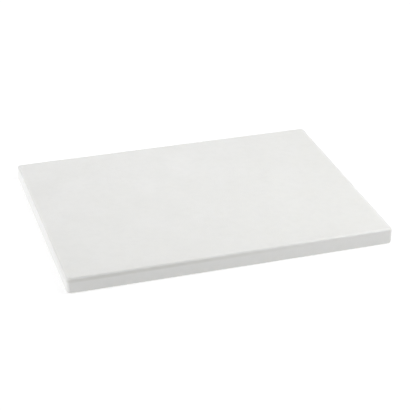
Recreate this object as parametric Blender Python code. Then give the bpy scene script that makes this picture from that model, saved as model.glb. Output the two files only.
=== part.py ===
"""White polyethylene cutting board: one solid slab cut from pressed sheet, in metres, +Z up.

The long side runs along X, the short side along Y, and the origin is at the centre of the underside.
Both broad faces are plain, so either one can be the cutting surface. The board has no groove, hole,
handle or feet: its only shaping is the four rounded corners and the softened rims.
"""

from math import cos, pi, radians, sin

import bmesh
import bpy

# Driving dimensions
LENGTH = 0.400
WIDTH = 0.300
THICKNESS = 0.020
CORNER_RADIUS = 0.005  # each vertical corner, seen from above
RIM_RADIUS = 0.0025  # the rounding all the way round each broad face

# How finely the curves are divided, in steps for each quarter turn
CORNER_STEPS = 8
RIM_STEPS = 6

# The rims turn a right angle, and the steps of a corner turn far less than this
RIM_ANGLE = radians(45)

BOARD_COLOUR = (0.80, 0.80, 0.78, 1.0)
BOARD_ROUGHNESS = 0.45


def clear_scene():
    """Removes every object, so that the board is all that the scene holds."""
    for old in list(bpy.data.objects):
        bpy.data.objects.remove(old)


def rounded_rectangle(length, width, radius, steps):
    """Points anticlockwise round a rectangle with rounded corners, centred on the origin."""
    points = []
    quarters = [(1, 1), (-1, 1), (-1, -1), (1, -1)]
    for quarter, (side_x, side_y) in enumerate(quarters):
        centre_x = side_x * (length / 2 - radius)
        centre_y = side_y * (width / 2 - radius)
        for step in range(steps + 1):
            angle = (quarter + step / steps) * pi / 2
            points.append((centre_x + radius * cos(angle), centre_y + radius * sin(angle)))
    return points


def slab_mesh():
    """The slab: the board's outline, extruded up by its thickness, with both rims rounded."""
    slab = bmesh.new()
    outline = rounded_rectangle(LENGTH, WIDTH, CORNER_RADIUS, CORNER_STEPS)
    underside = slab.faces.new([slab.verts.new((x, y, 0.0)) for x, y in outline])
    raised = bmesh.ops.extrude_face_region(slab, geom=[underside], use_keep_orig=True)
    top_points = [item for item in raised["geom"] if isinstance(item, bmesh.types.BMVert)]
    bmesh.ops.translate(slab, verts=top_points, vec=(0.0, 0.0, THICKNESS))
    bmesh.ops.recalc_face_normals(slab, faces=slab.faces)
    rims = [edge for edge in slab.edges if edge.calc_face_angle() > RIM_ANGLE]
    bmesh.ops.bevel(
        slab,
        geom=rims,
        offset=RIM_RADIUS,
        offset_type="OFFSET",
        segments=RIM_STEPS,
        profile=0.5,
        affect="EDGES",
    )
    mesh = bpy.data.meshes.new("board")
    slab.to_mesh(mesh)
    slab.free()
    mesh.shade_smooth()
    return mesh


def white_polyethylene():
    """Undyed polyethylene: a warm white with the satin surface of pressed sheet."""
    material = bpy.data.materials.new("white_polyethylene")
    material.use_nodes = True
    shader = material.node_tree.nodes["Principled BSDF"]
    shader.inputs["Base Color"].default_value = BOARD_COLOUR
    shader.inputs["Roughness"].default_value = BOARD_ROUGHNESS
    shader.inputs["Metallic"].default_value = 0.0
    return material


def build_board():
    """The whole object, as one named piece."""
    board = bpy.data.objects.new("board", slab_mesh())
    board.data.materials.append(white_polyethylene())
    bpy.context.scene.collection.objects.link(board)
    # Shading follows the large faces, so that the flats look flat right up to the rims
    flats = board.modifiers.new("flat_faces", "WEIGHTED_NORMAL")
    flats.keep_sharp = True


clear_scene()
build_board()
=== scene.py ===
"""White polyethylene cutting board, lying flat on a pale studio floor.

One piece of fine mesh stands for the CAD slab: its flats, rims and edges are those of the CAD box, with
the slight unevenness of pressed and planed sheet. Sizes are in metres, and places are in the CAD frame.
"""

from math import cos, pi, radians, sin

import bpy
from mathutils import Matrix, Vector, noise


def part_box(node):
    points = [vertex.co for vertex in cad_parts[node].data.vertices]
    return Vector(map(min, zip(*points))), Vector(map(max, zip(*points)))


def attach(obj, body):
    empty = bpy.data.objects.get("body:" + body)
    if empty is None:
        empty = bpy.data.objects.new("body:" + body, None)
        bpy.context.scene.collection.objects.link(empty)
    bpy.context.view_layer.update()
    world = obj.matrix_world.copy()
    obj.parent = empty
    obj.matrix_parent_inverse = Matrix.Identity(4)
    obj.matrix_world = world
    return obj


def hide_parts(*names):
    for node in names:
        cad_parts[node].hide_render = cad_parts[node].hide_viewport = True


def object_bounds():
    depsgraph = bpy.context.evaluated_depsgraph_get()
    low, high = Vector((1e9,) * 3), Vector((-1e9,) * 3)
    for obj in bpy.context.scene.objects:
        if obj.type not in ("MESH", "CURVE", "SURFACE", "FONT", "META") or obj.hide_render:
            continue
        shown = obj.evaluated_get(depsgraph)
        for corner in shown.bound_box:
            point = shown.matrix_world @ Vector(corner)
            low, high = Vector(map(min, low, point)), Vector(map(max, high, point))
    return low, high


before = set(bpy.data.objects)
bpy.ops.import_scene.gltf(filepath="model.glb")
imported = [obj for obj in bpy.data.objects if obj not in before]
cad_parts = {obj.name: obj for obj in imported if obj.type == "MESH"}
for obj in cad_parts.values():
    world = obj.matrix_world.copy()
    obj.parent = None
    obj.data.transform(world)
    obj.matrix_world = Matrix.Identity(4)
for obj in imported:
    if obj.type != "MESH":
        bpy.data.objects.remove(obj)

cad_low, cad_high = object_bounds()

# The slab's rounded parts, as the CAD makes them
CORNER_RADIUS = 0.005
RIM_RADIUS = 0.0025

# How finely the visible mesh is divided
CELL = 0.005  # the grid on each broad face
CORNER_STEPS = 16
RIM_STEPS = 10
WALL_STEPS = 5

# How far the real surfaces stray inward from true, over what distance, and which stretch of the noise
# says where
FLAT_WAVE_DEPTH = 0.00012
FLAT_WAVE_LENGTH = 0.110
FLAT_WAVE_SEED = 3.7
EDGE_WAVE_DEPTH = 0.00006
EDGE_WAVE_LENGTH = 0.028
EDGE_WAVE_SEED = 9.1

# Colours, linear: the broad faces, the planed edges and the fine mottling of undyed polyethylene,
# then a painted highlight on the flats' borders and painted shade on the edges
FACE_DARK = (0.776, 0.776, 0.748, 1)
FACE_LIGHT = (0.824, 0.824, 0.800, 1)
EDGE_DARK = (0.782, 0.782, 0.765, 1)
EDGE_LIGHT = (0.814, 0.814, 0.802, 1)
MOTTLE_COLOUR = (0.72, 0.72, 0.695, 1)
# painted highlight: the lighter colour of the flats' borders, where the rim catches the light
PAINTED_HIGHLIGHT_COLOUR = (0.865, 0.865, 0.850, 1)
# painted shade: the darker colour under the upper rim and on the lower rim
PAINTED_SHADE_COLOUR = (0.700, 0.700, 0.672, 1)

# Noise in the material, as (features per metre, detail)
CLOUD_NOISE = (14.0, 3.0)
PATCH_NOISE = (35.0, 4.0)
MOTTLE_NOISE = (110.0, 1.5)
PEBBLE_NOISE = (700.0, 1.5)
RIPPLE_NOISE = (260.0, 1.0)

# How one value in the material follows another, as (from, to, result at from, result at to)
MOTTLE_SHARE = (0.40, 0.80, 0.0, 0.22)  # the mottling's colour, by its noise
HIGHLIGHT_SHARE = (0.04, 0.14, 0.1, 0.7)  # the painted highlight on the borders, by x
SHADE_REACH = (0.35, 0.52, 0.0, 1.0)  # the painted shade under the upper rim, by nearness to the front left corner
SHADE_PATCHES = (0.3, 0.7, 0.7, 1.15)  # the painted shade under the upper rim, by the patch noise
FOOT_SHADE = (0.0012, 0.0034, 0.40, 0.0)  # the painted shade on the lower rim, by height
SATIN_ROUGHNESS = (0.3, 0.7, 0.38, 0.50)  # the roughness, by the patch noise
PEBBLE_SHARE = (0.0, 1.0, 1.0, 0.25)  # the pebble, by how far the surface faces sideways
MARK_SHARE = (0.35, 0.65, 0.3, 1.0)  # the cutter marks, by the patch noise

# Bands in the material, as (start, start of full strength, end of full strength, end)
HIGHLIGHT_BAND = (0.0001, 0.0006, 0.0030, 0.0046)  # the painted highlight, by distance in from the nearest side
SHADE_BAND = (0.0136, 0.0156, 0.0174, 0.0192)  # the painted shade under the upper rim, by height

# Nearness to the front left corner is the sum of x and y with these weights
NEARNESS_OF_X = -1.0
NEARNESS_OF_Y = -3.0

# Relief on the surfaces. The pebble and the ripple are noise, which swings over about a fifth of these
PEBBLE_DEPTH = 0.00030
RIPPLE_DEPTH = 0.00012
MARK_PITCH = 0.0026  # between the cutter marks along the planed edges
MARK_WANDER = 0.003  # how far a mark may stray along the edge
MARK_DEPTH = 0.00003

# How the plastic takes light
BURNISH = 0.20  # how much less rough the rims are than the rest
REFRACTIVE_INDEX = 1.51
SUBSURFACE_WEIGHT = 0.15
SUBSURFACE_RADIUS = (1.0, 0.95, 0.8)
SUBSURFACE_SCALE = 0.002

# Camera, with angles in degrees, and lens and sensor in millimetres
CAMERA_AZIMUTH = -17.87
CAMERA_ELEVATION = 28.23
CAMERA_ROLL = 0.516
CAMERA_DISTANCE = 1.675
CAMERA_AIM_OFFSET = Vector((0.0090, -0.0044, -0.0026))  # from the middle of the board
CAMERA_LENS = 117.05
SENSOR_WIDTH = 36.0
NEAREST_SEEN = 0.01
FURTHEST_SEEN = 100.0

# The studio: the floor glows a little, as a white table lit from below does, and turns as white as
# the surround further off, so that no horizon shows
FLOOR_GAP = 0.0002  # keeps the floor just clear of the underside
FLOOR_SIZE = 30.0
FLOOR_COLOUR = (0.60, 0.60, 0.60, 1)
FLOOR_ROUGHNESS = 0.9
NEAR_GLOW = 0.51
NEAR_DISTANCE = 0.8
FAR_GLOW = 1.0
FAR_DISTANCE = 2.2
SURROUND_LIGHT = 0.20  # what the plain white surround gives to the scene
WHITE = (1.0, 1.0, 1.0)
COOL = (0.993, 0.990, 1.0)
COOLER = (0.960, 0.960, 1.0)

# The softboxes, as (name, azimuth, elevation, distance, width, height, power, colour), in degrees,
# metres and watts
SOFTBOXES = (
    ("overhead", 0, 89, 2.0, 1.6, 1.6, 6.2, WHITE),
    ("left", -95, 24, 2.4, 2.4, 1.2, 31.0, COOL),
    ("right_near", 75, 40, 1.1, 0.4, 0.4, 3.9, WHITE),
    ("front_right", 50, 61, 1.5, 0.5, 0.5, 4.6, WHITE),
    ("behind", 180, 22, 2.2, 1.4, 0.9, 6.7, COOLER),
    ("behind_right", 160, 28, 2.2, 1.0, 0.8, 3.9, COOLER),
    ("behind_left", -151, 21, 1.5, 0.4, 0.5, 0.9, COOLER),
)


# ---------------------------------------------------------------- the slab's mesh

def ring_stations(columns, rows):
    """Stations round the slab, anticlockwise from the front of the right edge.

    Each is a grid point on the border of the broad face, as (column, row), with the outward direction
    there. A corner has several stations at one grid point, which fan through a quarter turn.
    """
    right = [(columns, row) for row in range(rows + 1)]
    back = [(column, rows) for column in range(columns, -1, -1)]
    left = [(0, row) for row in range(rows, -1, -1)]
    front = [(column, 0) for column in range(columns + 1)]
    stations = []
    for quarter, side in enumerate((right, back, left, front)):
        start = quarter * pi / 2
        stations += [(point, cos(start), sin(start)) for point in side]
        for step in range(1, CORNER_STEPS):
            angle = start + step / CORNER_STEPS * pi / 2
            stations.append((side[-1], cos(angle), sin(angle)))
    return stations


def rim_profile(thickness):
    """(outward distance, height, how far it faces sideways) down the slab's side, from flat to flat."""
    inner = CORNER_RADIUS - RIM_RADIUS
    turns = [radians(90) * step / RIM_STEPS for step in range(RIM_STEPS + 1)]
    upper = [
        (inner + RIM_RADIUS * sin(turn), thickness - RIM_RADIUS * (1 - cos(turn)), sin(turn))
        for turn in turns
    ]
    wall_height = thickness - 2 * RIM_RADIUS
    wall = [
        (CORNER_RADIUS, thickness - RIM_RADIUS - wall_height * step / WALL_STEPS, 1.0)
        for step in range(1, WALL_STEPS)
    ]
    lower = [(out, thickness - height, sideways) for out, height, sideways in reversed(upper)]
    return upper + wall + lower


def slab_mesh(low, high):
    """The whole slab as one closed mesh, with 'run' and 'sideways' stored at its points.

    run is the distance round the outline, in metres, and sideways goes from 0 on the broad faces to 1
    on the edges. The material uses them to place the planing marks.
    """
    size = high - low
    middle = (low + high) / 2
    half_x = size.x / 2 - CORNER_RADIUS
    half_y = size.y / 2 - CORNER_RADIUS
    columns = round(2 * half_x / CELL)
    rows = round(2 * half_y / CELL)
    stations = ring_stations(columns, rows)
    points, runs, sideways, faces = [], [], [], []

    def grid_xy(column, row):
        x = middle.x - half_x + 2 * half_x * column / columns
        y = middle.y - half_y + 2 * half_y * row / rows
        return x, y

    def add_grid(z, upward):
        """One broad face inside the rims. Returns the index of each grid point."""
        first = len(points)
        for row in range(rows + 1):
            for column in range(columns + 1):
                points.append((*grid_xy(column, row), z))
                runs.append(0.0)
                sideways.append(0.0)
        index = {
            (column, row): first + row * (columns + 1) + column
            for row in range(rows + 1)
            for column in range(columns + 1)
        }
        for row in range(rows):
            for column in range(columns):
                corners = [
                    index[column, row],
                    index[column + 1, row],
                    index[column + 1, row + 1],
                    index[column, row + 1],
                ]
                faces.append(corners if upward else corners[::-1])
        return index

    def add_ring(out, z, facing):
        """One ring of points round the slab. Returns their indices."""
        first = len(points)
        run = 0.0
        before = None
        for (column, row), dx, dy in stations:
            x, y = grid_xy(column, row)
            here = Vector((x + CORNER_RADIUS * dx, y + CORNER_RADIUS * dy))
            run += (here - before).length if before is not None else 0.0
            before = here
            points.append((x + out * dx, y + out * dy, z))
            runs.append(run)
            sideways.append(facing)
        return list(range(first, len(points)))

    def stitch(upper, lower):
        """Faces between two rings, upper above or inside lower. Repeated points make triangles."""
        for here in range(len(stations)):
            after = (here + 1) % len(stations)
            loop = [upper[here], lower[here], lower[after], upper[after]]
            if loop[0] == loop[3]:
                loop.pop()
            if loop[1] == loop[2]:
                loop.pop(2)
            faces.append(loop)

    top = add_grid(high.z, upward=True)
    rings = [[top[point] for point, _, _ in stations]]
    rings += [add_ring(out, low.z + z, facing) for out, z, facing in rim_profile(size.z)]
    bottom = add_grid(low.z, upward=False)
    rings.append([bottom[point] for point, _, _ in stations])
    for upper, lower in zip(rings, rings[1:]):
        stitch(upper, lower)

    mesh = bpy.data.meshes.new("board")
    mesh.from_pydata(points, [], faces)
    for name, values in (("run", runs), ("sideways", sideways)):
        mesh.attributes.new(name, "FLOAT", "POINT").data.foreach_set("value", values)
    mesh.validate()
    mesh.update()
    return mesh


def dent(point, seed, length, depth):
    """A smooth depth between 0 and depth that varies over the given length."""
    offset = Vector((seed, -seed, seed * 0.5))
    return depth * (0.5 + 0.5 * noise.noise(point / length + offset))


def make_uneven(mesh):
    """Presses the surfaces in by a few hundredths of a millimetre, as in real sheet."""
    places = []
    sideways = mesh.attributes["sideways"].data
    for vertex in mesh.vertices:
        facing = sideways[vertex.index].value
        depth = dent(vertex.co, FLAT_WAVE_SEED, FLAT_WAVE_LENGTH, FLAT_WAVE_DEPTH) * (1 - facing)
        depth += dent(vertex.co, EDGE_WAVE_SEED, EDGE_WAVE_LENGTH, EDGE_WAVE_DEPTH) * facing
        places.append(vertex.co - vertex.normal * depth)
    for vertex, place in zip(mesh.vertices, places):
        vertex.co = place
    mesh.update()


# ---------------------------------------------------------------- the material

class NodeBuilder:
    """Short calls for building a material's node tree."""

    def __init__(self, name):
        self.material = bpy.data.materials.new(name)
        self.material.use_nodes = True
        self.tree = self.material.node_tree
        self.shader = self.tree.nodes["Principled BSDF"]

    def node(self, kind, **settings):
        made = self.tree.nodes.new(kind)
        for key, value in settings.items():
            setattr(made, key, value)
        return made

    def feed(self, socket, value):
        if isinstance(value, bpy.types.NodeSocket):
            self.tree.links.new(value, socket)
        else:
            socket.default_value = value

    def maths(self, operation, first, second=0.0, clamp=False):
        made = self.node("ShaderNodeMath", operation=operation, use_clamp=clamp)
        self.feed(made.inputs[0], first)
        self.feed(made.inputs[1], second)
        return made.outputs[0]

    def noise(self, place, scale, detail):
        made = self.node("ShaderNodeTexNoise")
        self.feed(made.inputs["Vector"], place)
        made.inputs["Scale"].default_value = scale
        made.inputs["Detail"].default_value = detail
        return made.outputs["Fac"]

    def ranged(self, value, low, high, to_low, to_high):
        made = self.node("ShaderNodeMapRange")
        self.feed(made.inputs["Value"], value)
        for name, number in (("From Min", low), ("From Max", high), ("To Min", to_low), ("To Max", to_high)):
            made.inputs[name].default_value = number
        return made.outputs["Result"]

    def band(self, value, start, full, full_end, end):
        """1 between full and full_end, falling to 0 at start and at end."""
        rise = self.ranged(value, start, full, 0.0, 1.0)
        fall = self.ranged(value, full_end, end, 1.0, 0.0)
        return self.maths("MULTIPLY", rise, fall)

    def attribute(self, name):
        return self.node("ShaderNodeAttribute", attribute_name=name).outputs["Fac"]

    def bump(self, height, distance, before=None):
        made = self.node("ShaderNodeBump")
        made.inputs["Distance"].default_value = distance
        self.feed(made.inputs["Height"], height)
        if before is not None:
            self.feed(made.inputs["Normal"], before)
        return made.outputs["Normal"]


def colour_pair(build, first, second, share):
    """A mix of two colours. Mix nodes have several inputs called A and B, so they are set by type."""
    made = build.node("ShaderNodeMix", data_type="RGBA")
    sockets = [socket for socket in made.inputs if socket.type == "RGBA"]
    build.feed(made.inputs[0], share)
    build.feed(sockets[0], first)
    build.feed(sockets[1], second)
    return next(socket for socket in made.outputs if socket.type == "RGBA")


def painted_border_highlight(build, x, y, high):
    """A painted highlight: the flats' borders and the rims made lighter, most of all on the right.

    The slab is centred on the origin, so how far a point is from its sides comes from the sizes of x
    and y alone.
    """
    from_side = build.maths("SUBTRACT", high.x, build.maths("ABSOLUTE", x))
    from_end = build.maths("SUBTRACT", high.y, build.maths("ABSOLUTE", y))
    inset = build.maths("MINIMUM", from_side, from_end)
    border = build.band(inset, *HIGHLIGHT_BAND)
    toward_right = build.ranged(x, *HIGHLIGHT_SHARE)
    return build.maths("MULTIPLY", border, toward_right)


def painted_edge_shade(build, x, y, z, sideways, patches):
    """Painted shade on the edges: a dark line under the upper rim near the front left corner, and a darker
    lower rim.
    """
    line = build.band(z, *SHADE_BAND)
    frontness = build.maths("MULTIPLY", y, NEARNESS_OF_Y)
    leftness = build.maths("MULTIPLY", x, NEARNESS_OF_X)
    nearness = build.maths("ADD", frontness, leftness)
    line = build.maths("MULTIPLY", line, build.ranged(nearness, *SHADE_REACH))
    line = build.maths("MULTIPLY", line, build.ranged(patches, *SHADE_PATCHES))
    foot = build.ranged(z, *FOOT_SHADE)
    return build.maths("MULTIPLY", build.maths("MAXIMUM", line, foot), sideways, clamp=True)


def plastic_colour(build, place, sideways, patches, high):
    """Faint clouds in the sheet, finer mottling, a more neutral tone on the edges, a painted highlight on
    the borders and painted shade on the edges.
    """
    parts = build.node("ShaderNodeSeparateXYZ")
    build.feed(parts.inputs[0], place)
    x, y, z = parts.outputs
    clouds = build.noise(place, *CLOUD_NOISE)
    mottle = build.noise(place, *MOTTLE_NOISE)
    face_colour = colour_pair(build, FACE_DARK, FACE_LIGHT, clouds)
    edge_colour = colour_pair(build, EDGE_DARK, EDGE_LIGHT, clouds)
    colour = colour_pair(build, face_colour, edge_colour, sideways)
    speckled = colour_pair(build, colour, MOTTLE_COLOUR, build.ranged(mottle, *MOTTLE_SHARE))
    # a painted highlight on the flats' borders, then painted shade on the edges
    highlighted = colour_pair(build, speckled, PAINTED_HIGHLIGHT_COLOUR, painted_border_highlight(build, x, y, high))
    return colour_pair(build, highlighted, PAINTED_SHADE_COLOUR, painted_edge_shade(build, x, y, z, sideways, patches))


def plastic_roughness(build, sideways, patches):
    """Satin with rubbed patches, and smoother on the burnished rims."""
    # 0 on the broad faces and on the edges, and up to 1 between them
    upward = build.maths("SUBTRACT", 1.0, sideways)
    rim = build.maths("MULTIPLY", build.maths("MULTIPLY", sideways, upward), 4.0)
    satin = build.ranged(patches, *SATIN_ROUGHNESS)
    return build.maths("SUBTRACT", satin, build.maths("MULTIPLY", rim, BURNISH))


def plastic_relief(build, place, sideways, patches):
    """Pebble, fainter on the edges, a broader ripple all over, and cutter marks round the edges."""
    pebble = build.noise(place, *PEBBLE_NOISE)
    pebble = build.maths("MULTIPLY", pebble, build.ranged(sideways, *PEBBLE_SHARE))
    ripple = build.noise(place, *RIPPLE_NOISE)
    wander = build.maths("MULTIPLY", patches, MARK_WANDER)
    strayed = build.maths("ADD", build.attribute("run"), wander)
    marks = build.maths("SINE", build.maths("MULTIPLY", strayed, 2 * pi / MARK_PITCH))
    marks = build.maths("MULTIPLY", marks, build.ranged(patches, *MARK_SHARE))
    marks = build.maths("MULTIPLY", marks, sideways)
    normal = build.bump(pebble, PEBBLE_DEPTH)
    normal = build.bump(ripple, RIPPLE_DEPTH, normal)
    return build.bump(marks, MARK_DEPTH, normal)


def polyethylene(high):
    """Undyed white polyethylene: pebbled on its broad faces, planed on its edges, satin all over."""
    build = NodeBuilder("white_polyethylene")
    place = build.node("ShaderNodeTexCoord").outputs["Object"]
    sideways = build.attribute("sideways")
    patches = build.noise(place, *PATCH_NOISE)
    sockets = build.shader.inputs
    build.feed(sockets["Base Color"], plastic_colour(build, place, sideways, patches, high))
    build.feed(sockets["Roughness"], plastic_roughness(build, sideways, patches))
    build.feed(sockets["Normal"], plastic_relief(build, place, sideways, patches))
    sockets["IOR"].default_value = REFRACTIVE_INDEX
    sockets["Subsurface Weight"].default_value = SUBSURFACE_WEIGHT
    sockets["Subsurface Radius"].default_value = SUBSURFACE_RADIUS
    sockets["Subsurface Scale"].default_value = SUBSURFACE_SCALE
    return build.material


def build_board():
    """The one visible piece, in place of the CAD slab."""
    low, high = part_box("board")
    mesh = slab_mesh(low, high)
    make_uneven(mesh)
    mesh.shade_smooth()
    mesh.materials.append(polyethylene(high))
    board = bpy.data.objects.new("cutting_board", mesh)
    bpy.context.scene.collection.objects.link(board)
    flats = board.modifiers.new("flat_faces", "WEIGHTED_NORMAL")
    flats.keep_sharp = True
    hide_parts("board")
    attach(board, "root")
    return board


# ---------------------------------------------------------------- the studio

def floor_material():
    """A pale matt floor that glows, more so far from the board."""
    build = NodeBuilder("studio_floor")
    place = build.node("ShaderNodeTexCoord").outputs["Object"]
    distance = build.node("ShaderNodeVectorMath", operation="LENGTH")
    build.feed(distance.inputs[0], place)
    glow = build.ranged(distance.outputs["Value"], NEAR_DISTANCE, FAR_DISTANCE, NEAR_GLOW, FAR_GLOW)
    build.shader.inputs["Base Color"].default_value = FLOOR_COLOUR
    build.shader.inputs["Roughness"].default_value = FLOOR_ROUGHNESS
    build.shader.inputs["Emission Color"].default_value = (*WHITE, 1)
    build.feed(build.shader.inputs["Emission Strength"], glow)
    return build.material


def build_floor():
    """A plain pale floor, just under the board."""
    half = FLOOR_SIZE / 2
    corners = [(-half, -half, 0), (half, -half, 0), (half, half, 0), (-half, half, 0)]
    mesh = bpy.data.meshes.new("floor")
    mesh.from_pydata(corners, [], [(0, 1, 2, 3)])
    mesh.materials.append(floor_material())
    floor = bpy.data.objects.new("floor", mesh)
    floor.location.z = cad_low.z - FLOOR_GAP
    bpy.context.scene.collection.objects.link(floor)


def spot_on_sphere(azimuth, elevation, distance):
    """A place round the board, from angles in degrees. Azimuth 0 is in front, and grows rightwards."""
    turn = radians(azimuth)
    rise = radians(elevation)
    return distance * Vector((sin(turn) * cos(rise), -cos(turn) * cos(rise), sin(rise)))


def softbox(name, azimuth, elevation, distance, width, height, power, colour):
    """A soft area light that faces the board."""
    light = bpy.data.lights.new(name, "AREA")
    light.shape = "RECTANGLE"
    light.size = width
    light.size_y = height
    light.energy = power
    light.color = colour
    lamp = bpy.data.objects.new(name, light)
    place = spot_on_sphere(azimuth, elevation, distance)
    lamp.location = place
    lamp.rotation_euler = (-place).to_track_quat("-Z", "Y").to_euler()
    bpy.context.scene.collection.objects.link(lamp)


def build_surround():
    """A plain white backdrop all round, which gives less light than it shows."""
    world = bpy.data.worlds.new("surround")
    world.use_nodes = True
    tree = world.node_tree
    given = tree.nodes["Background"]
    given.inputs["Color"].default_value = (*WHITE, 1)
    given.inputs["Strength"].default_value = SURROUND_LIGHT
    shown = tree.nodes.new("ShaderNodeBackground")
    shown.inputs["Color"].default_value = (*WHITE, 1)
    rays = tree.nodes.new("ShaderNodeLightPath")
    either = tree.nodes.new("ShaderNodeMixShader")
    tree.links.new(rays.outputs["Is Camera Ray"], either.inputs[0])
    tree.links.new(given.outputs[0], either.inputs[1])
    tree.links.new(shown.outputs[0], either.inputs[2])
    tree.links.new(either.outputs[0], tree.nodes["World Output"].inputs["Surface"])
    bpy.context.scene.world = world


def build_lights():
    """Softboxes above, behind and on both sides."""
    for row in SOFTBOXES:
        softbox(*row)


def build_camera():
    """A long lens, looking down on the board from the front left."""
    middle = (cad_low + cad_high) / 2
    camera = bpy.data.cameras.new("camera")
    camera.lens = CAMERA_LENS
    camera.sensor_width = SENSOR_WIDTH
    camera.sensor_fit = "HORIZONTAL"
    camera.clip_start = NEAREST_SEEN
    camera.clip_end = FURTHEST_SEEN
    holder = bpy.data.objects.new("camera", camera)
    aim = middle + CAMERA_AIM_OFFSET
    back = spot_on_sphere(CAMERA_AZIMUTH, CAMERA_ELEVATION, 1.0)
    facing = (-back).to_track_quat("-Z", "Y").to_matrix()
    roll = Matrix.Rotation(radians(CAMERA_ROLL), 3, "Z")
    holder.matrix_world = Matrix.Translation(aim + back * CAMERA_DISTANCE) @ (facing @ roll).to_4x4()
    bpy.context.scene.collection.objects.link(holder)
    bpy.context.scene.camera = holder


build_board()
build_floor()
build_surround()
build_lights()
build_camera()
bpy.context.scene.view_settings.view_transform = "Standard"
